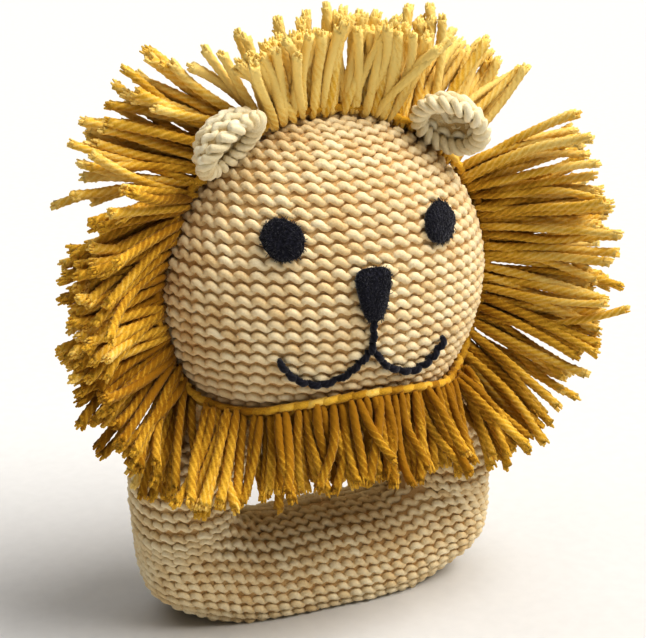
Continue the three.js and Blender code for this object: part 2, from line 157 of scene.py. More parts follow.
def add_tubes(shape, paths, radii, tones, sides, facing=None, lobes=0, lobe_depth=0.0, pitch=None):
    """Adds a closed tube along each path. Lobes and a pitch make it look like a rope of plies.

    paths is (tubes, steps, 3), radii and tones are (tubes, steps), and facing is a direction per point.
    """
    count, steps, _ = paths.shape
    along = unit(np.gradient(paths, axis=1))
    if facing is None:
        chord = unit(paths[:, -1] - paths[:, 0])
        least = np.eye(3)[np.argmin(np.abs(chord), axis=1)]
        facing = np.repeat(least[:, None], steps, axis=1)
    across = unit(np.cross(along, facing))
    up = np.cross(across, along)
    around = TURN * np.arange(sides) / sides
    bulge = 1 + lobe_depth * np.cos(lobes * around)
    angle = np.broadcast_to(around, (count, steps, sides))
    if pitch:
        travelled = np.linalg.norm(np.diff(paths, axis=1), axis=2).cumsum(axis=1)
        travelled = np.concatenate([np.zeros((count, 1)), travelled], axis=1)
        angle = angle + (TURN * travelled / pitch)[:, :, None]
    section = np.cos(angle)[..., None] * across[:, :, None] + np.sin(angle)[..., None] * up[:, :, None]
    rings = paths[:, :, None] + (radii[:, :, None] * bulge)[..., None] * section
    # painted shade in the grooves between the plies, painted lighter on the plies
    ply_groove_shading = PLY_GROOVE_SHADE * (bulge - 1) / max(lobe_depth, 1e-9) if lobes else 0 * bulge
    ring_tones = tones[:, :, None] + ply_groove_shading
    points = np.concatenate([rings.reshape(count, -1, 3), paths[:, :1], paths[:, -1:]], axis=1)
    all_tones = np.concatenate([ring_tones.reshape(count, -1), tones[:, :1], tones[:, -1:]], axis=1)
    shape.add(points.reshape(-1, 3), all_tones.ravel(), *tube_faces(count, steps, sides))


def add_rows(shape, rows, tones=0.5):
    """Adds a closed surface through rings of points, closed at the first and last rings' middles."""
    rows = np.asarray(rows, float)[None]
    count, sides = rows.shape[1], rows.shape[2]
    quads, triangles = tube_faces(1, count, sides)
    ends = np.stack([rows[0, 0].mean(0), rows[0, -1].mean(0)])
    shape.add(np.concatenate([rows.reshape(-1, 3), ends]), tones, quads, triangles)


# ---- The head's surface ----


def flatten_chin(height):
    below = np.maximum(0, -height - CHIN_START)
    return height + below - CHIN_SOFTNESS * (1 - np.exp(-below / CHIN_SOFTNESS))


def unflatten_chin(height):
    below = np.maximum(0, -height - CHIN_START)
    return height + below + CHIN_SOFTNESS * np.log(1 - below / CHIN_SOFTNESS)


def head_normal(points):
    local = points - HEAD_CENTRE
    below = np.maximum(0, -local[..., 2] - CHIN_START)
    slope = 1 / (1 - below / CHIN_SOFTNESS)
    round_height = unflatten_chin(local[..., 2])
    gradient = np.stack([local[..., 0], local[..., 1], round_height * slope], -1)
    return unit(gradient / HEAD_HALF**2)


def on_face(x, height, lift=0.0):
    """A point on the front of the head, lifted off along the normal."""
    x, height = np.broadcast_arrays(np.asarray(x, float), np.asarray(height, float))
    rest = 1 - (x / HEAD_HALF[0]) ** 2 - (unflatten_chin(height) / HEAD_HALF[2]) ** 2
    y = HEAD_CENTRE[1] - HEAD_HALF[1] * np.sqrt(np.maximum(rest, 0))
    points = np.stack([x, y, HEAD_CENTRE[2] + height], -1)
    return points + np.asarray(lift)[..., None] * head_normal(points)


def on_seam(degrees, lift=0.0):
    """A point on the seam between the head's halves. Angles run from +X towards +Z."""
    angle = np.radians(degrees)
    inset = np.sqrt(1 - ((SEAM_Y - HEAD_CENTRE[1]) / HEAD_HALF[1]) ** 2)
    x = HEAD_HALF[0] * inset * np.cos(angle)
    z = HEAD_CENTRE[2] + flatten_chin(HEAD_HALF[2] * inset * np.sin(angle))
    points = np.stack([x, np.full_like(x, SEAM_Y), z], -1)
    return points + np.asarray(lift)[..., None] * head_normal(points)


SWELL_DEPTH = 0.15


def stuffing_swell(points):
    """How far the stuffing pushes the cover in or out: a slow unevenness, the same for every layer."""
    x, y, z = points[..., 0], points[..., 1], points[..., 2]
    across = np.sin(x / 7.1 + 1.3 * np.sin(z / 9.3))
    upwards = np.sin(z / 6.3 + y / 8.7 + 0.7)
    slanted = np.sin((x - z) / 11.9 + 2.1)
    return SWELL_DEPTH * (across + upwards + slanted)


# ---- Garter stitch ----

# One stitch of a ridge as the yarn runs: along in stitch widths, then height, distance outwards and radius.
# It rises over a broad hump, sags into a lower crescent, and tucks under the next hump.
STITCH_STOPS = [
    (-0.36, -0.46, -0.55, 0.56),
    (-0.24, 0.10, 0.02, 0.76),
    (0.00, 0.42, 0.30, 0.86),
    (0.22, 0.12, 0.20, 0.80),
    (0.38, -0.34, 0.08, 0.75),
    (0.55, -0.54, 0.08, 0.73),
    (0.73, -0.34, -0.05, 0.68),
    (0.86, 0.02, -0.55, 0.54),
]
STITCH_STEPS = 12
STITCH_SIDES = 7
YARN_LEVEL = -0.80  # the ridges' middle line, from the CAD surface
PAD_LEVEL = -0.92  # the fabric between the ridges
HEAD_PAD_INSIDE = 1.62  # depth of the fabric's inner side below the CAD surface
RING_PAD_INSIDE = 1.65
VALLEY_SHADE_TONE = 0.24  # the fabric's tone, set low as painted shade between the ridges, on the same scale as the yarn's


def add_ridge(shape, points, normals, width, rng, closed=False, scale=1.0, level=YARN_LEVEL, keep=None):
    """Adds a row of stitches along a line on a surface. keep picks the stitches by their middles."""
    step = np.linalg.norm(np.diff(points, axis=0), axis=1)
    length = np.concatenate([[0], step.cumsum()])
    total = length[-1]
    if closed:
        count = max(3, round(total / width))
        width = total / count
        starts = width * np.arange(count)
    else:
        half = int(total / 2 // width)
        starts = total / 2 + width * np.arange(-half, half + 1)
    if not len(starts):
        return
    path = smooth_path(STITCH_STOPS, STITCH_STEPS)
    along = starts[:, None] + width * path[None, :, 0] + rng.normal(0, 0.07, (len(starts), 1))
    along = along % total if closed else np.clip(along, 0, total)
    tangents = np.gradient(points, axis=0)

    def sample(values):
        return np.stack([np.interp(along, length, values[:, axis]) for axis in range(3)], -1)

    normal = unit(sample(normals))
    tangent = unit(sample(tangents))
    up = unit(np.cross(normal, tangent))
    size = scale * rng.normal(1, 0.05, (len(starts), 1))
    height = path[None, :, 1] * size + rng.normal(0, 0.09, (len(starts), 1))
    out = path[None, :, 2] * size + rng.normal(0, 0.06, (len(starts), 1)) + level
    middle = sample(points)
    paths = middle + height[..., None] * up + (out + stuffing_swell(middle))[..., None] * normal
    radii = path[None, :, 3] * size
    # painted shade: a stitch is coloured darker where its yarn dips inwards and lighter on its hump
    tones = 0.62 + 0.38 * np.clip(path[None, :, 2], -0.8, 0.4) + rng.normal(0, 0.08, (len(starts), 1))
    if keep is not None:
        kept = keep(middle[:, STITCH_STEPS // 2])
        paths, radii, tones, normal = paths[kept], radii[kept], tones[kept], normal[kept]
    if len(paths):
        add_tubes(shape, paths, radii, tones, STITCH_SIDES, facing=normal)


HEAD_STITCH_WIDTH = 3.45
HEAD_ROW_SPACING = 2.62
HEAD_STITCH_SCALE = 1.07
SEAM_OVERLAP = 1.6  # how far a row runs on under the band


def head_ridges(side, rng):
    """The ridges of the front (side -1) or back (side 1) of the head. Each lies at one height."""
    shape = Shape()
    polar = np.linspace(0, np.pi, 2000)
    depth = HEAD_HALF[1] * np.sin(polar)
    height = flatten_chin(HEAD_HALF[2] * np.cos(polar))
    length = np.concatenate([[0], np.hypot(np.diff(depth), np.diff(height)).cumsum()])
    around = np.linspace(-0.16, np.pi + 0.16, 280) + (np.pi if side < 0 else 0)
    for distance in np.arange(HEAD_ROW_SPACING, length[-1], HEAD_ROW_SPACING):
        angle = np.interp(distance, length, polar)
        x = HEAD_HALF[0] * np.sin(angle) * np.cos(around)
        y = HEAD_CENTRE[1] + HEAD_HALF[1] * np.sin(angle) * np.sin(around)
        z = HEAD_CENTRE[2] + flatten_chin(HEAD_HALF[2] * np.cos(angle))
        points = np.stack([x, y, np.full_like(x, z)], -1)
        points = points[side * (points[:, 1] - SEAM_Y) > -SEAM_OVERLAP]
        if len(points) > 8:
            add_ridge(shape, points, head_normal(points), HEAD_STITCH_WIDTH, rng, scale=HEAD_STITCH_SCALE)
    return shape


def head_pad(side):
    """The fabric under the ridges: a thin shell over the front or back of the stuffed head."""
    pole_to_seam = np.arccos(side * (SEAM_Y + 0.15 * side - HEAD_CENTRE[1]) / HEAD_HALF[1])
    reach = np.linspace(0.02, 1, 40) * pole_to_seam
    around = TURN * np.arange(96) / 96
    x = HEAD_HALF[0] * np.sin(reach)[:, None] * np.cos(around)
    y = HEAD_CENTRE[1] + side * HEAD_HALF[1] * np.cos(reach)[:, None] + 0 * around
    z = HEAD_CENTRE[2] + flatten_chin(HEAD_HALF[2] * np.sin(reach)[:, None] * np.sin(around))
    skin = np.stack([x, y, z], -1)
    if side > 0:
        skin = skin[:, ::-1]
    normal = head_normal(skin)
    outside = skin + (PAD_LEVEL + stuffing_swell(skin))[..., None] * normal
    inside = skin - HEAD_PAD_INSIDE * normal
    shape = Shape()
    add_rows(shape, np.concatenate([inside, outside[::-1]]), VALLEY_SHADE_TONE)
    return shape


# ---- The ring ----

# From the bottom bar's middle to the top bar's middle: inner x, inner z, outer x, outer z, half depth.
RING_STATIONS = [
    (0, 22.5, 0, -4.6, 13.2),
    (11, 22.5, 17, -4.2, 13.2),
    (17.6, 23.4, 31, 1, 13.2),
    (20.8, 26, 41.8, 9, 13),
    (21.6, 29.4, 44, 23, 12.8),
    (20.6, 33, 43.4, 40, 12.4),
    (16.6, 35.6, 34, 51, 11.4),
    (9, 36.2, 16, 47.8, 9.6),
    (0, 36.2, 0, 47.2, 9),
]
RING_STITCH_WIDTH = 3.0
RING_ROW_SPACING = 2.72
RING_BAR_HALF = 18.0  # half the length of the straight rows along the bottom bar
RING_BASE_HALF = 11.0  # round the section, from the middle of the underside to where it leaves the floor
BAR_ROWS_END = 42.0  # along the loop, where the bar's rows have passed into the arm's
BAR_ROWS_BLEND = 20.0  # the length of loop over which they pass
ARM_START = 56.0  # along the loop, from the bar's middle
RING_STITCH_SCALE = 1.06


def ring_grid():
    """The ring's skin as a grid: stations along the loop, and places round the section from -1 to 1.

    Place 0 is the outside line, and -1 and 1 are both the grip hole's edge. The front's are negative.
    """
    right = np.array(RING_STATIONS, float)
    left = right[1:-1][::-1] * [-1, 1, -1, 1, 1]
    loop = np.concatenate([right, left])
    wrapped = np.concatenate([loop[-2:], loop, loop[:3]])
    fine = smooth_path(wrapped, (len(wrapped) - 1) * 24 + 1)[48 : 48 + len(loop) * 24 + 1]
    angle = np.linspace(-np.pi, np.pi, 361)
    outward = np.sign(np.cos(angle)) * np.abs(np.cos(angle)) ** (2 / RING_BOXINESS)
    sideways = np.sign(np.sin(angle)) * np.abs(np.sin(angle)) ** (2 / RING_BOXINESS)
    share = ((1 + outward) / 2)[None, :]
    x = fine[:, :1] * (1 - share) + fine[:, 2:3] * share
    z = fine[:, 1:2] * (1 - share) + fine[:, 3:4] * share
    y = RING_Y + fine[:, 4:5] * sideways[None, :]
    dense = np.stack([x, y, np.maximum(z, 0)], -1)
    places = np.linspace(-1, 1, 97)
    grid = np.empty((len(fine), len(places), 3))
    for index, section in enumerate(dense):
        run = np.concatenate([[0], np.linalg.norm(np.diff(section, axis=0), axis=1).cumsum()])
        middle = np.interp(0, angle, run)
        run = np.where(run < middle, (run - middle) / middle, (run - middle) / (run[-1] - middle))
        for axis in range(3):
            grid[index, :, axis] = np.interp(places, run, section[:, axis])
    return grid, places


def grid_normals(grid):
    wrapped = np.concatenate([grid[-2:-1], grid, grid[1:2]])
    along = wrapped[2:] - wrapped[:-2]
    closed = np.concatenate([grid[:, -2:-1], grid, grid[:, 1:2]], axis=1)
    around = closed[:, 2:] - closed[:, :-2]
    normals = unit(np.cross(around, along))
    smooth = normals.copy()
    smooth[:, 1:-1] = unit(normals[:, :-2] + 2 * normals[:, 1:-1] + normals[:, 2:])
    return smooth


class RingSkin:
    """Finds points and normals on the ring's skin by distance along the loop and place round it."""

    def __init__(self):
        self.grid, self.places = ring_grid()
        self.normals = grid_normals(self.grid)
        centre = (self.grid[:, 0] + self.grid[:, (len(self.places) - 1) // 2]) / 2
        run = np.concatenate([[0], np.linalg.norm(np.diff(centre, axis=0), axis=1).cumsum()])
        half = run[-1] / 2
        self.run, self.total = run, run[-1]
        self.end = half
        self.half_perimeter = np.linalg.norm(np.diff(self.grid, axis=1), axis=2).sum(axis=1) / 2
        front = self.grid[:, (len(self.places) - 1) // 4]
        step = np.diff(front, axis=0)
        flatness = np.maximum(0, np.linalg.norm(step, axis=1) - step[:, 2])
        flatness[run[1:] < ARM_START] = 0
        self.shoulder_length = np.concatenate([[0], flatness.cumsum()])

    def shoulder(self, distance):
        """The length of skin along the loop that doesn't rise, counted from the foot of the arm."""
        return np.interp(distance, self.run, self.shoulder_length)

    def place_of(self, distance, offset):
        """The place that lies at an offset in mm round the section from the outside line."""
        return offset / np.interp(distance % self.total, self.run, self.half_perimeter)

    def at(self, distance, place):
        """distance is signed, from the bottom bar's middle, and grows towards +X."""
        station = np.interp(distance % self.total, self.run, np.arange(len(self.run)))
        column = (np.clip(place, -1, 1) + 1) / 2 * (len(self.places) - 1)
        i = np.minimum(station.astype(int), len(self.run) - 2)
        j = np.minimum(column.astype(int), len(self.places) - 2)
        u, v = (station - i)[..., None], (column - j)[..., None]
        found = []
        for values in (self.grid, self.normals):
            low = values[i, j] * (1 - v) + values[i, j + 1] * v
            high = values[i + 1, j] * (1 - v) + values[i + 1, j + 1] * v
            found.append(low * (1 - u) + high * u)
        return found[0], unit(found[1])


def ring_rays(skin):
    """Lines on the skin that run out from the bar's underside, with the row height at each reach.

    The row height is how far up the knitting a place lies: the distance round the section on the bar, the
    height above the floor on the arms, and the length along the skin on the shoulders. Returns the starts,
    the directions, the reaches, the row heights, and the reach at which each line leaves the skin.
    """
    bend = np.linspace(-np.pi / 2, np.pi / 2, 360)
    fan = np.stack([np.cos(bend), np.sin(bend)], -1)
    bar = np.linspace(-RING_BAR_HALF, RING_BAR_HALF, 80)[1:-1]
    along_bar = np.stack([bar, 0 * bar], -1)
    end = np.full_like(fan, (RING_BAR_HALF, 0))
    starts = np.concatenate([end, along_bar[::-1], end * [-1, 1], along_bar])
    back = np.full_like(along_bar, (0, 1))
    front = np.full_like(along_bar, (0, -1))
    directions = np.concatenate([fan, back, fan[::-1] * [-1, 1], front])
    reaches = np.arange(0, skin.end, 0.75)
    spots = starts[:, None] + directions[:, None] * reaches[None, :, None]
    distance, offset = np.clip(spots[..., 0], -skin.end, skin.end), spots[..., 1]
    place = skin.place_of(distance, offset)
    height = skin.at(distance, place)[0][..., 2]
    up_arm = height + np.minimum(0, reaches - RING_BASE_HALF) + skin.shoulder(np.abs(distance))
    round_bar = np.abs(offset) - RING_BASE_HALF
    share_on_bar = np.clip((BAR_ROWS_END - np.abs(distance)) / BAR_ROWS_BLEND, 0, 1)
    row_height = share_on_bar * round_bar + (1 - share_on_bar) * up_arm
    row_height = np.maximum.accumulate(row_height + 0.001 * reaches, axis=1)
    shown = (np.abs(place) < 1) & (np.abs(distance) < skin.end - 0.5)
    limits = reaches[np.where(shown.all(axis=1), len(reaches) - 1, np.argmin(shown, axis=1))]
    return starts, directions, reaches, row_height, limits


def ring_row(rays, wanted_height):
    """The row of knitting at one row height: its lines of (distance, offset), and whether it closes."""
    starts, directions, reaches, row_height, limits = rays
    reach = np.array([np.interp(wanted_height, heights, reaches) for heights in row_height])
    loop = starts + directions * reach[:, None]
    inside = reach < limits
    if inside.all():
        return [np.concatenate([loop, loop[:1]])], True
    if not inside.any():
        return [], False
    first = np.flatnonzero(~inside)[0]
    loop, inside = np.roll(loop, -first, axis=0), np.roll(inside, -first)
    cuts = np.flatnonzero(np.diff(inside.astype(int))) + 1
    runs = zip(np.split(loop, cuts), np.split(inside, cuts))
    return [run for run, shown in runs if shown[0] and len(run) > 8], False


def ring_ridges(side, skin, rng):
    """The ridges on the front (side -1) or back (side 1) of the ring."""
    shape = Shape()
    rays = ring_rays(skin)
    lowest, highest = RING_ROW_SPACING / 2 - RING_BASE_HALF, rays[3].max()

    def on_side(middles):
        return side * (middles[:, 1] - RING_Y) > 0

    for row_height in np.arange(lowest, highest, RING_ROW_SPACING):
        lines, closed = ring_row(rays, row_height)
        for line in lines:
            points, normals = skin.at(line[:, 0], skin.place_of(line[:, 0], line[:, 1]))
            add_ridge(
                shape, points, normals, RING_STITCH_WIDTH, rng,
                closed=closed, scale=RING_STITCH_SCALE, keep=on_side,
            )
    return shape


def ring_pad(skin):
    """The fabric under the ridges: a hollow tube closed into a loop."""
    shape = Shape()
    stations = np.linspace(0, skin.total, 161)[:-1]
    places = np.linspace(-1, 1, 65)[:-1]
    distance, place = np.meshgrid(stations, places, indexing="ij")
    points, normals = skin.at(distance, place)
    rows, columns = distance.shape
    row, column = np.meshgrid(np.arange(rows), np.arange(columns), indexing="ij")
    next_row, next_column = (row + 1) % rows, (column + 1) % columns
    quads = np.stack(
        [
            row * columns + column,
            row * columns + next_column,
            next_row * columns + next_column,
            next_row * columns + column,
        ],
        -1,
    ).reshape(-1, 4)
    outside = points + (PAD_LEVEL + stuffing_swell(points))[..., None] * normals
    inside = points - RING_PAD_INSIDE * normals
    shape.add(outside.reshape(-1, 3), VALLEY_SHADE_TONE, quads, [])
    shape.add(inside.reshape(-1, 3), VALLEY_SHADE_TONE, quads[:, ::-1], [])
    return shape


# ---- Fringe yarn ----

STRAND_STEPS = 22
STRAND_LOBES = 4
STRAND_SIDES = 12
STRAND_LOBE_DEPTH = 0.06
STRAND_PITCH = 8.5  # the length of yarn in which its plies turn once
STRAND_RADIUS = 1.0
STRAND_SCATTER = 0.055  # how far a strand's heading strays from its knot's
WAVE_SHARE = 0.22  # a strand's small wave, as a share of its bend
BRUSH_FIBRES = 9
BRUSH_SIDES = 5


def add_strands(shape, roots, headings, lengths, rng, bend=0.17, droop=0.07, painted_lightness=0.0):
    """Adds a twisted cut yarn for each root. Each curves its own way and ends in a short open brush."""
    count = len(roots)
    headings = unit(headings + rng.normal(0, STRAND_SCATTER, (count, 3)))
    t = np.linspace(0, 1, STRAND_STEPS)[None, :, None]
    side = unit(np.cross(headings, rng.normal(0, 1, (count, 3))))
    other = np.cross(headings, side)
    down = np.array([0, 0, -1.0])
    curve = rng.normal(0, bend, (count, 1, 1)) * side[:, None] * t**2
    wave_size = rng.normal(0, bend * WAVE_SHARE, (count, 1, 1))
    phase = rng.uniform(0, TURN, (count, 1, 1))
    wave = wave_size * other[:, None] * np.sin(1.4 * np.pi * t + phase) * t
    sag = droop * down * t**2
    paths = roots[:, None] + lengths[:, None, None] * (t * headings[:, None] + curve + wave + sag)
    t = t[..., 0]
    from_knot = 0.42 * np.sin(np.pi * np.minimum(t * 2.6, 0.5))
    towards_end = 0.14 * np.clip((t - 0.8) / 0.2, 0, 1) ** 2
    radii = STRAND_RADIUS * (0.6 + from_knot + towards_end) * rng.normal(1, 0.06, (count, 1))
    # painted shade: the yarn's tone rises from its knot towards its tip, darker where the yarns crowd at
    # their roots; the lightness argument adds painted light or shade to the whole yarn
    tones = painted_lightness + np.clip(0.25 + 0.5 * t, 0, 0.62) + rng.normal(0, 0.11, (count, 1))
    add_tubes(
        shape, paths, radii, tones, STRAND_SIDES,
        lobes=STRAND_LOBES, lobe_depth=STRAND_LOBE_DEPTH, pitch=STRAND_PITCH,
    )
    add_brushes(shape, paths[:, -1], unit(paths[:, -1] - paths[:, -3]), radii[:, -1], tones[:, -1], rng)


def add_brushes(shape, ends, directions, radii, tones, rng):
    """The opened plies at a cut end: short tapered bundles that splay a little."""
    count = len(ends)
    total = count * BRUSH_FIBRES
    direction = np.repeat(directions, BRUSH_FIBRES, axis=0)
    side = unit(np.cross(direction, rng.normal(0, 1, (total, 3))))
    reach = np.sqrt(rng.uniform(0.05, 1, (total, 1))) * np.repeat(radii, BRUSH_FIBRES)[:, None]
    start = np.repeat(ends, BRUSH_FIBRES, axis=0) + side * reach * 0.72 - direction * 1.2
    length = rng.uniform(1.7, 2.5, (total, 1))
    splay = reach * rng.uniform(0.0, 0.35, (total, 1))
    t = np.linspace(0, 1, 4)[None, :, None]
    ahead = direction[:, None] * (length[:, None] * t)
    sideways = side[:, None] * (splay[:, None] * t**2)
    paths = start[:, None] + ahead + sideways
    taper = np.array([1, 1.05, 1, 0.7])[None, :]
    brush_tones = np.repeat(tones, BRUSH_FIBRES)[:, None] + 0.12 + rng.normal(0, 0.08, (total, 1))
    brush_radii = rng.uniform(0.26, 0.36, (total, 1)) * taper
    add_tubes(shape, paths, brush_radii, brush_tones + 0 * taper, BRUSH_SIDES)


def seam_heading(degrees, sweep, turned=0.0):
    """Straight out from the seam, leaned forward by sweep and turned downwards by turned, in degrees."""
    angle, lean = np.radians(degrees - turned), np.radians(sweep)
    y = -np.sin(lean) + 0 * angle
    return np.stack([np.cos(angle) * np.cos(lean), y, np.sin(angle) * np.cos(lean)], -1)


# Sections of the mane on each side. "from" and "to" are angles along the seam, and "turned" turns the yarns
# down at those two ends. The left yarns' length is "left share" times the right yarns'.
# The lightness column is painted light and shade in each section's yarn tone: lighter on top, where the
# light falls, and darker lower down, in shade.
FRINGE_SECTIONS = [
    # name, CAD nodes, from, to, knots, length, sweep, turned right, turned left, left share, painted
    # lightness
    ("upper", 3, 40, 66, 7, 26.0, -10, (-4, -4), (30, 36), 1.02, 0.34),
    ("side", 4, -11, 34, 13, 28.5, 18, (6, 9), (0, 34), 0.76, 0.1),
    ("lower", 2, -31, -14, 5, 28.0, 26, (24, 10), (20, 6), 0.8, -0.1),
]
LEFT_DARKER = 0.3  # taken from the left yarns' tone, to copy the shade on that side of the photograph
LAYERS = 3  # of yarn on each knot, from front to back
ROOT_LIFT = 0.1  # of the yarns' roots above the head's surface

# The top section is the same on both sides of the head's middle.
# painted light: the top yarns' tone is raised, where light falls from above
TOP_FROM, TOP_TO, TOP_KNOTS, TOP_LENGTH, TOP_SWEEP, TOP_PAINTED_LIGHT = 69, 111, 13, 21.5, 13, 0.5


def knot_strands(roots, headings, length, rng, spread=0.12):
    """Two yarns from each knot in each layer: roots, headings and lengths, with the knot's own lean."""
    lean = rng.normal(0, spread, headings.shape)
    all_roots, all_headings, all_lengths = [], [], []
    for layer in range(LAYERS):
        for half in (-1, 1):
            back = np.array([0, 1.0, 0]) * (layer - (LAYERS - 1) / 2)
            tangent = unit(np.cross(headings, [0, 1.0, 0]))
            jitter = rng.normal(0, 0.3, roots.shape)
            all_roots.append(roots + 1.15 * back + 0.85 * half * tangent + jitter)
            fan = 0.1 * back * (1 + rng.uniform(-0.5, 0.5))
            all_headings.append(unit(headings + lean + fan + 0.07 * half * tangent))
            all_lengths.append(length * rng.normal(1, 0.06, len(roots)))
    return np.concatenate(all_roots), np.concatenate(all_headings), np.concatenate(all_lengths)


def seam_fringe(start, end, knots, length, sweep, turned, mirror, rng, painted_lightness):
    degrees = np.linspace(start, end, knots)
    roots = on_seam(degrees, ROOT_LIFT)
    headings = seam_heading(degrees, sweep, np.linspace(*turned, knots))
    flip = np.array([-1.0 if mirror else 1.0, 1, 1])
    shape = Shape()
    add_strands(shape, *knot_strands(roots * flip, headings * flip, length, rng), rng, painted_lightness=painted_lightness)
    return shape


# The band under the chin, as x and height on the face.
CHIN_BAND = [
    (-30, -21.4), (-22.5, -22.4), (-13, -20.2), (0, -18.8), (13, -20.2), (22.5, -22.4), (30, -21.4)
]


def band_line(count):
    """The band's centreline: along the seam over the top, then forward under the chin."""
    seam = on_seam(np.arange(-24, 205, 12.0), BAND_LIFT)
    chin_x, chin_height = np.array(CHIN_BAND).T
    chin = on_face(chin_x, chin_height, BAND_LIFT)
    stops = np.concatenate([seam, chin])
    wrapped = np.concatenate([stops[-2:], stops, stops[:3]])
    fine = smooth_path(wrapped, (len(wrapped) - 1) * 40 + 1)[80 : 80 + len(stops) * 40 + 1]
    run = np.concatenate([[0], np.linalg.norm(np.diff(fine, axis=0), axis=1).cumsum()])
    at = np.linspace(0, run[-1], count + 1)
    return np.stack([np.interp(at, run, fine[:, axis]) for axis in range(3)], -1)


def chin_roots(low, high, count):
    x = np.linspace(low, high, count)
    chin_x, chin_height = np.array(CHIN_BAND).T
    return on_face(x, np.interp(x, chin_x, chin_height), BAND_LIFT), x


# ---- Materials ----


def new_material(name, roughness, sheen=0.0, specular=0.3):
    """A node material with its shader and one object-space texture coordinate."""
    material = bpy.data.materials.new(name)
    material.use_nodes = True
    nodes, links = material.node_tree.nodes, material.node_tree.links
    shader = nodes["Principled BSDF"]
    shader.inputs["Roughness"].default_value = roughness
    shader.inputs["Sheen Weight"].default_value = sheen
    shader.inputs["Sheen Roughness"].default_value = 0.45
    shader.inputs["Specular IOR Level"].default_value = specular
    place = nodes.new("ShaderNodeTexCoord").outputs["Object"]
    return material, nodes, links, shader, place


def add_noise(nodes, links, place, scale, detail=2.0):
    noise = nodes.new("ShaderNodeTexNoise")
    noise.inputs["Scale"].default_value = scale
    noise.inputs["Detail"].default_value = detail
    links.new(place, noise.inputs["Vector"])
    return noise.outputs["Fac"]


def add_ramp(nodes, links, value, stops):
    """Turns a value into a colour by stops of (place, linear colour)."""
    ramp = nodes.new("ShaderNodeValToRGB")
    elements = ramp.color_ramp.elements
    while len(elements) < len(stops):
        elements.new(0.5)
    for element, (position, colour) in zip(elements, stops):
        element.position = position
        element.color = (*colour, 1)
    links.new(value, ramp.inputs["Fac"])
    return ramp.outputs["Color"]


def add_math(nodes, links, operation, first, second):
    node = nodes.new("ShaderNodeMath")
    node.operation = operation
    for socket, value in zip(node.inputs, (first, second)):
        if isinstance(value, (int, float)):
            socket.default_value = value
        else:
            links.new(value, socket)
    return node.outputs[0]


def add_bump(nodes, links, shader, height, distance, strength):
    bump = nodes.new("ShaderNodeBump")
    bump.inputs["Strength"].default_value = strength
    bump.inputs["Distance"].default_value = distance
    links.new(height, bump.inputs["Height"])
    links.new(bump.outputs["Normal"], shader.inputs["Normal"])


def yarn_material(name, shaded, middle, light, sheen=0.25):
    """Spun cotton: the tone stored on the mesh paints light and shade, running from the shaded colour where
    a point lies deep to the light colour where it stands out, and noise gives the fibres.
    """
    material, nodes, links, shader, place = new_material(name, 0.92, sheen, 0.15)
    tone = nodes.new("ShaderNodeAttribute")
    tone.attribute_name = "tone"
    slow = add_noise(nodes, links, place, 160, 1)
    fine = add_noise(nodes, links, place, 2600, 3)
    uneven = add_math(nodes, links, "SUBTRACT", add_math(nodes, links, "ADD", slow, fine), 1.0)
    uneven = add_math(nodes, links, "MULTIPLY", uneven, 0.55)
    value = add_math(nodes, links, "ADD", tone.outputs["Fac"], uneven)
    colour = add_ramp(nodes, links, value, [(0.05, shaded), (0.5, middle), (0.95, light)])
    links.new(colour, shader.inputs["Base Color"])
    add_bump(nodes, links, shader, fine, 0.0003, 0.55)
    return material


def felt_material():
    material, nodes, links, shader, place = new_material("dark_felt", 1.0, 0.35, 0.1)
    fibres = add_noise(nodes, links, place, 1900, 4)
    colours = [(0.3, (0.004, 0.004, 0.008)), (0.55, (0.013, 0.013, 0.022)), (0.8, (0.05, 0.05, 0.075))]
    links.new(add_ramp(nodes, links, fibres, colours), shader.inputs["Base Color"])
    add_bump(nodes, links, shader, fibres, 0.0005, 0.9)
    return material


def plain_material(name, low, high, roughness, scale, distance):
    """A plain material with slight unevenness, for the stuffing and the rattle inside."""
    material, nodes, links, shader, place = new_material(name, roughness)
    noise = add_noise(nodes, links, place, scale, 3)
    links.new(add_ramp(nodes, links, noise, [(0.3, low), (0.7, high)]), shader.inputs["Base Color"])
    add_bump(nodes, links, shader, noise, distance, 0.5)
    return material


cream = yarn_material("cream_knit", (0.60, 0.37, 0.15), (0.80, 0.62, 0.35), (0.93, 0.82, 0.58))
gold = yarn_material("gold_yarn", (0.38, 0.185, 0.010), (0.80, 0.50, 0.060), (0.97, 0.76, 0.29), 0.12)
pale = yarn_material("pale_crochet", (0.62, 0.44, 0.19), (0.86, 0.75, 0.50), (0.95, 0.90, 0.72))
dark_thread = yarn_material(
    "dark_thread", (0.003, 0.003, 0.006), (0.012, 0.012, 0.019), (0.045, 0.045, 0.065)
)
felt = felt_material()
fibre = plain_material("white_fibre", (0.75, 0.73, 0.68), (0.9, 0.89, 0.86), 1.0, 700, 0.0005)
shell_plastic = plain_material("clear_shell", (0.70, 0.73, 0.76), (0.82, 0.84, 0.86), 0.3, 90, 0.00005)
bead_plastic = plain_material("bright_bead", (0.50, 0.05, 0.04), (0.62, 0.08, 0.06), 0.35, 200, 0.00005)

# ---- Pieces ----


def make_head():
    rng = np.random.default_rng(11)
    for side, label in ((-1, "face"), (1, "back")):
        pad = make_piece(head_pad(side), f"{label}_fabric", cream, "head", [f"{label}_cover"])
        make_piece(head_ridges(side, rng), f"{label}_ridges", cream, "head")


def make_ring():
    rng = np.random.default_rng(23)
    skin = RingSkin()
    pad = make_piece(ring_pad(skin), "ring_fabric", cream, "ring", ["ring_cover"], floor=0.05)
    for side, label in ((-1, "front"), (1, "back")):
        ridges = ring_ridges(side, skin, rng)
        make_piece(ridges, f"ring_ridges_{label}", cream, "ring", floor=0.0)


NECK_STITCHES = 22
NECK_RADIUS = 6.3


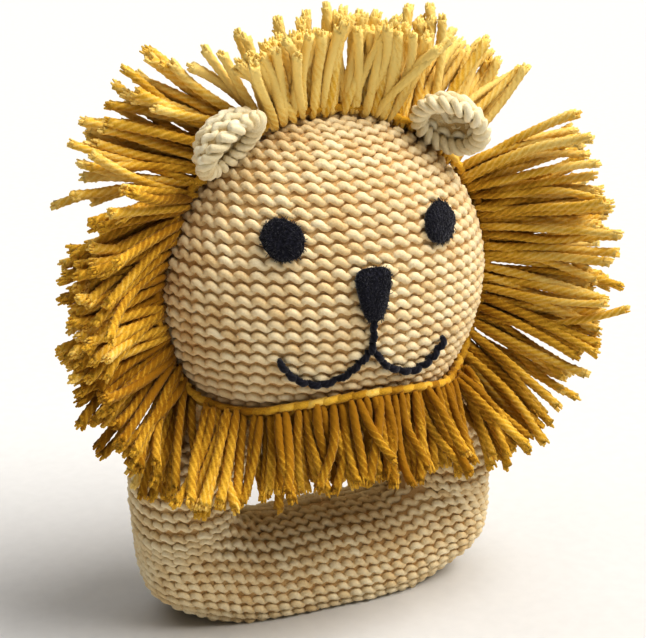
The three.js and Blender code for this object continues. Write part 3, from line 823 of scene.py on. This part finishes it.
def make_neck():
    """Whip stitches round the neck, where the head is sewn on the ring."""
    rng = np.random.default_rng(31)
    start = TURN * np.arange(NECK_STITCHES)[:, None] / NECK_STITCHES
    t = np.linspace(0, 1, 9)[None, :]
    angle = start + 0.34 * t
    radius = NECK_RADIUS + 1.2 * np.sin(np.pi * t) + rng.normal(0, 0.05, (NECK_STITCHES, 1))
    height = NECK_Z - 1.1 + 2.2 * t + 0 * angle
    paths = np.stack([radius * np.cos(angle), RING_Y + radius * np.sin(angle), height], -1)
    shape = Shape()
    add_tubes(shape, paths, np.full(paths.shape[:2], 0.6), 0.5 + 0 * radius, 6)
    make_piece(shape, "neck_stitches", cream, "neck_skin", ["neck_seam"])


def make_fringe():
    rng = np.random.default_rng(47)
    shape = seam_fringe(
        TOP_FROM, TOP_TO, TOP_KNOTS, TOP_LENGTH, TOP_SWEEP, (0, 0), False, rng, TOP_PAINTED_LIGHT
    )
    replaced = [f"mane_top_{i}" for i in range(1, 5)]
    make_piece(shape, "top_fringe_yarn", gold, "top_fringe", replaced)
    for section in FRINGE_SECTIONS:
        name, nodes, start, end, knots, length, sweep, turned_right, turned_left, share, painted_lightness = section
        sides = (("right", turned_right, 1, 0), ("left", turned_left, share, LEFT_DARKER))
        for label, turned, reach, darker in sides:
            mirror = label == "left"
            shape = seam_fringe(
                start, end, knots, length * reach, sweep, turned, mirror, rng, painted_lightness - darker
            )
            body = f"{name}_fringe_{label}"
            replaced = [f"mane_{name}_{label}_{i}" for i in range(1, nodes + 1)]
            make_piece(shape, f"{name}_fringe_yarn_{label}", gold, body, replaced)


def make_beard():
    rng = np.random.default_rng(59)
    roots, x = chin_roots(-24, 24, 15)
    headings = unit(np.stack([0.006 * x, -0.2 + 0 * x, -1 + 0 * x], -1))
    shape = Shape()
    strands = knot_strands(roots + [0, 0.3, 0.4], headings, 18.0, rng)
    # painted shade: the beard's yarn tone is lowered, as it hangs in the shade under the head
    add_strands(shape, *strands, rng, bend=0.2, droop=0, painted_lightness=-0.42)
    make_piece(shape, "beard_yarn", gold, "beard", [f"beard_{i}" for i in range(1, 7)])
    for label, side in (("right", 1), ("left", -1)):
        roots, x = chin_roots(25.5, 31, 3)
        headings = unit(np.stack([0.42 + 0.03 * (x - 25), -0.46 + 0 * x, -1 + 0 * x], -1))
        flip = np.array([side, 1, 1])
        shape = Shape()
        strands = knot_strands((roots + [0.5, -1.0, 0.2]) * flip, headings * flip, 22.0, rng)
        # painted shade: the cheek yarns' tone is lowered, as they hang in shade below the head
        add_strands(shape, *strands, rng, droop=0, painted_lightness=-0.22)
        body = f"cheek_fringe_{label}"
        make_piece(shape, f"cheek_fringe_yarn_{label}", gold, body, [f"mane_cheek_{label}"])


CHAIN_PITCH = 3.0
CHAIN_RADIUS = 0.86


def make_band():
    """The chain that holds the fringe: two rows of slanted loops along the band."""
    rng = np.random.default_rng(61)
    line = band_line(240)
    outward = unit(line - HEAD_CENTRE)
    shape = Shape()
    along = unit(np.gradient(line, axis=0))
    across = unit(np.cross(along, outward))
    run = np.concatenate([[0], np.linalg.norm(np.diff(line, axis=0), axis=1).cumsum()])
    links = round(run[-1] / CHAIN_PITCH)
    width = run[-1] / links
    t = np.linspace(0, 1, 10)
    for sign in (-1, 1):
        starts = width * np.arange(links)[:, None]
        at = (starts + width * (1.5 * t[None, :] - 0.2)) % run[-1]

        def sample(values):
            return np.stack([np.interp(at, run, values[:, axis]) for axis in range(3)], -1)

        sideways = sign * (0.25 + 0.85 * np.sin(np.pi * t))[None, :, None]
        lift = (0.55 * np.sin(np.pi * t) - 0.25 - 0.35 * t)[None, :, None]
        paths = sample(line) + sideways * sample(across) + lift * sample(outward)
        tones = np.full(paths.shape[:2], 0.3) + rng.normal(0, 0.16, (links, 1))
        radii = np.full(paths.shape[:2], CHAIN_RADIUS)
        add_tubes(shape, paths, radii, tones, 6, facing=sample(outward))
    make_piece(shape, "mane_band_chain", gold, "head", ["mane_band"])


def ear_frame(side):
    """The ear's middle and its directions across, up and out of its opening."""
    root = on_seam(np.array(EAR_ANGLE if side > 0 else 180 - EAR_ANGLE), EAR_STAND_OFF)
    local = root - HEAD_CENTRE
    outward = unit(np.array([local[0], local[1], unflatten_chin(local[2])]) / HEAD_HALF**2)
    opening = unit(np.array([side * -0.5, -0.62, -0.6]))
    across = unit(np.cross(opening, outward))
    up = np.cross(across, opening)
    middle = root + up * EAR_RADIUS * 0.7
    middle[1] = SEAM_Y - EAR_FORWARD
    return middle, across, up, opening


def make_ear(side, label):
    """A crocheted cup: rounds of stitches outside and inside, and a thick edge."""
    rng = np.random.default_rng(71 + side)
    middle, across, up, opening = ear_frame(side)
    around = np.linspace(0, TURN, 90)
    shape = Shape()

    def bowl(radius, depth, polar):
        local = np.stack(
            [
                radius * np.sin(polar) * np.cos(around),
                radius * EAR_SQUEEZE * np.sin(polar) * np.sin(around),
                -depth * np.cos(polar) + 0 * around,
            ],
            -1,
        )
        normal = unit(local / np.array([radius, radius * EAR_SQUEEZE, depth]) ** 2)
        basis = np.stack([across, up, opening])
        return middle + local @ basis, normal @ basis

    inner, inner_depth = EAR_RADIUS - EAR_WALL, EAR_DEPTH - EAR_WALL
    outwards, inwards = np.linspace(0.1, np.pi / 2, 12), np.linspace(np.pi / 2, 0.1, 12)
    rows = [bowl(EAR_RADIUS - EAR_INSET, EAR_DEPTH - EAR_INSET, polar)[0][:-1] for polar in outwards]
    rows += [bowl(inner + EAR_INSET, inner_depth + EAR_INSET, polar)[0][:-1] for polar in inwards]
    # the cup's skin under the stitches takes a low tone: painted shade in the hollow of the ear and between
    # its stitches
    add_rows(shape, rows, 0.15)
    for polar in (0.32, 0.72, 1.12, 1.5):
        points, normals = bowl(EAR_RADIUS, EAR_DEPTH, polar)
        add_ridge(shape, points, normals, 3.5, rng, closed=True, scale=1.15, level=-0.7)
    for polar in (0.5, 1.1):
        points, normals = bowl(inner, inner_depth, polar)
        add_ridge(shape, points[::-1], -normals[::-1], 3.4, rng, closed=True, scale=1.0, level=-0.6)
    rim_radius = (EAR_RADIUS + inner) / 2
    start = TURN * np.arange(EAR_RIM_STITCHES)[:, None] / EAR_RIM_STITCHES
    t = np.linspace(0, 1, 10)[None, :]
    angle = start + 0.44 * t
    roll = np.pi * (t * 1.25 - 0.12)
    spread = rim_radius + 1.35 * np.cos(roll)
    height = 1.15 * np.sin(roll) - 0.2
    local = np.stack([spread * np.cos(angle), spread * EAR_SQUEEZE * np.sin(angle), height + 0 * angle], -1)
    paths = middle + local @ np.stack([across, up, opening])
    tones = 0.6 + 0 * angle + rng.normal(0, 0.06, (EAR_RIM_STITCHES, 1))
    add_tubes(shape, paths, np.full(paths.shape[:2], 0.86), tones, 8)
    make_piece(shape, f"{label}_ear_crochet", pale, f"{label}_ear_cup", [f"{label}_ear"])


FELT_COLUMNS = 64
FELT_FIBRES = 420


def felt_patch(name, centre, outline, body, replaced, rng):
    """A thick felt shape on the face, with a rounded edge and loose fibres."""
    edge = outline(np.arange(FELT_COLUMNS) / FELT_COLUMNS)
    shape = Shape()

    def row(reach, lift):
        x = centre[0] + (edge[:, 0] - centre[0]) * reach
        height = centre[1] + (edge[:, 1] - centre[1]) * reach
        return on_face(x, height, lift + rng.normal(0, 0.05, FELT_COLUMNS))

    rows = [row(reach, FELT_LIFT + FELT * (1 - 0.45 * reach**5)) for reach in np.linspace(0.06, 0.97, 12)]
    rows.append(row(1.0, FELT_LIFT + 0.45 * FELT))
    rows += [row(reach, FELT_LIFT) for reach in (0.99, 0.5, 0.1)]
    add_rows(shape, rows[::-1], 0.5)
    reach = np.sqrt(rng.uniform(0.02, 1, FELT_FIBRES))
    pick = rng.integers(0, FELT_COLUMNS, FELT_FIBRES)
    x = centre[0] + (edge[pick, 0] - centre[0]) * reach
    height = centre[1] + (edge[pick, 1] - centre[1]) * reach
    base = on_face(x, height, FELT_LIFT + FELT * (0.9 - 0.4 * reach**5))
    normal = head_normal(base)
    flat = unit(np.cross(normal, rng.normal(0, 1, (FELT_FIBRES, 3))))
    t = np.linspace(-1, 1, 4)[None, :, None]
    length = rng.uniform(0.4, 1.0, (FELT_FIBRES, 1, 1))
    lift = rng.uniform(0.02, 0.25, (FELT_FIBRES, 1, 1)) * (1 - t**2)
    paths = base[:, None] + length * t * flat[:, None] + lift * normal[:, None]
    add_tubes(shape, paths, np.full(paths.shape[:2], 0.075), np.full(paths.shape[:2], 0.6), 4)
    make_piece(shape, name, felt, body, replaced)


def make_eyes_and_nose():
    rng = np.random.default_rng(83)
    for label, side in (("left", -1), ("right", 1)):
        slope = head_normal(on_face(EYE_X, EYE_Z))
        squeeze_x, squeeze_z = np.hypot(slope[1], slope[2]), np.hypot(slope[1], slope[0])
        centre = (side * EYE_X, EYE_Z)

        def outline(t):
            angle = TURN * t
            ragged = 1 + 0.02 * np.sin(5 * angle + side) + 0.012 * np.sin(11 * angle)
            return np.stack(
                [
                    centre[0] + EYE_RADIUS * squeeze_x * ragged * np.cos(angle),
                    centre[1] + EYE_RADIUS * squeeze_z * ragged * np.sin(angle),
                ],
                -1,
            )

        felt_patch(f"{label}_eye_felt", centre, outline, "head", [f"{label}_eye"], rng)
    middle = (NOSE_TOP + NOSE_BOTTOM) / 2

    def shield(t):
        across, up = (np.sign(f) * np.abs(f) ** (2 / 3.2) for f in (np.cos(TURN * t), np.sin(TURN * t)))
        x = NOSE_HALF_WIDTH * across * (0.72 + 0.28 * up)
        return np.stack([x, middle + (NOSE_TOP - NOSE_BOTTOM) / 2 * up], -1)

    felt_patch("nose_felt", (0, middle), shield, "head", ["nose"], rng)


def make_mouth():
    """Back stitches of dark thread along the mouth's lines."""
    rng = np.random.default_rng(97)
    lines = {"mouth_stem": ([(0, NOSE_BOTTOM + 0.4), (0, -5), (0, MOUTH_JUNCTION_Z - 0.6)], 3)}
    for label, side in (("left", -1), ("right", 1)):
        stops = [
            (side * 0.7, MOUTH_JUNCTION_Z - 0.6),
            (side * 4.4, MOUTH_LOW[1] + 2.4),
            (side * MOUTH_LOW[0], MOUTH_LOW[1]),
            (side * 15.4, MOUTH_LOW[1] + 1.6),
            (side * MOUTH_CORNER[0], MOUTH_CORNER[1]),
        ]
        lines[f"mouth_{label}"] = (stops, 8)
    for name, (stops, stitches) in lines.items():
        line = smooth_path(stops, 200)
        t = np.linspace(0, 1, 12)[None, :]
        at = (np.arange(stitches)[:, None] + 1.12 * t - 0.06) / stitches * 199
        x = np.interp(at, np.arange(200), line[:, 0]) + rng.normal(0, 0.1, (stitches, 1))
        height = np.interp(at, np.arange(200), line[:, 1]) + rng.normal(0, 0.1, (stitches, 1))
        paths = on_face(x, height, -0.25 + 1.35 * np.sin(np.pi * t) ** 0.5 + 0 * at)
        shape = Shape()
        radii = 0.78 * (0.75 + 0.25 * np.sin(np.pi * t)) + 0 * at
        add_tubes(
            shape, paths, radii, 0.5 + 0 * at, 10,
            facing=head_normal(paths), lobes=5, lobe_depth=0.12, pitch=5.0,
        )
        make_piece(shape, f"{name}_stitches", dark_thread, "head", [name])


def finish_inside():
    """The stuffing and the rattle keep their CAD shapes."""
    finishes = {
        "stuffing": (fibre, "white_fibre"),
        "rattle_shell": (shell_plastic, "clear_shell"),
        "rattle_bead": (bead_plastic, "bright_bead"),
    }
    for name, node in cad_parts.items():
        for part, (material, slot) in finishes.items():
            if part in name:
                node.data.materials.clear()
                node.data.materials.append(material)


# ---- Floor, lights and camera ----

CAMERA_PLACE = Vector((-121.3, -289.3, 179.8)) * MM
CAMERA_TARGET = Vector((0, 1.5, 70.2)) * MM
CAMERA_LENS = 82.57
FLOOR_HALF = 40.0  # metres


def aim(thing, target):
    thing.rotation_euler = (target - thing.location).to_track_quat("-Z", "Y").to_euler()


def add_light(name, place, spread, power, colour):
    data = bpy.data.lights.new(name, "SUN")
    data.angle = spread
    data.energy = power
    data.color = colour
    light = bpy.data.objects.new(name, data)
    light.location = Vector(place)
    bpy.context.scene.collection.objects.link(light)
    aim(light, CAMERA_TARGET)


def make_world():
    world = bpy.data.worlds.new("studio")
    world.use_nodes = True
    background = world.node_tree.nodes["Background"]
    background.inputs["Color"].default_value = (1.0, 0.98, 0.95, 1)
    background.inputs["Strength"].default_value = 0.12
    bpy.context.scene.world = world


def make_floor():
    mesh = bpy.data.meshes.new("floor")
    corners = [(x * FLOOR_HALF, y * FLOOR_HALF, 0) for x, y in ((-1, -1), (1, -1), (1, 1), (-1, 1))]
    mesh.from_pydata(corners, [], [(0, 1, 2, 3)])
    floor = bpy.data.objects.new("floor", mesh)
    bpy.context.scene.collection.objects.link(floor)
    material, nodes, links, shader, place = new_material("floor_paper", 1.0, 0.0, 0.0)
    noise = add_noise(nodes, links, place, 300, 2)
    colour = add_ramp(nodes, links, noise, [(0.3, (0.70, 0.70, 0.70)), (0.7, (0.72, 0.72, 0.72))])
    links.new(colour, shader.inputs["Base Color"])
    mesh.materials.append(material)


def make_camera():
    scene = bpy.context.scene
    data = bpy.data.cameras.new("camera")
    data.lens = CAMERA_LENS
    data.sensor_width = 36.0
    camera = bpy.data.objects.new("camera", data)
    camera.location = CAMERA_PLACE
    scene.collection.objects.link(camera)
    aim(camera, CAMERA_TARGET)
    scene.camera = camera
    scene.view_settings.view_transform = "Standard"
    scene.view_settings.gamma = 0.8  # set by comparing renders with the photograph


make_world()
make_floor()
add_light("key", (0.64, -0.47, 1.2), 0.75, 3.8, (1.0, 0.97, 0.93))
add_light("top", (-0.2, 0.1, 1.4), 1.2, 1.2, (1.0, 0.98, 0.95))
make_camera()
make_head()
make_ring()
make_neck()
make_fringe()
make_beard()
make_band()
make_ear(1, "right")
make_ear(-1, "left")
make_eyes_and_nose()
make_mouth()
finish_inside()
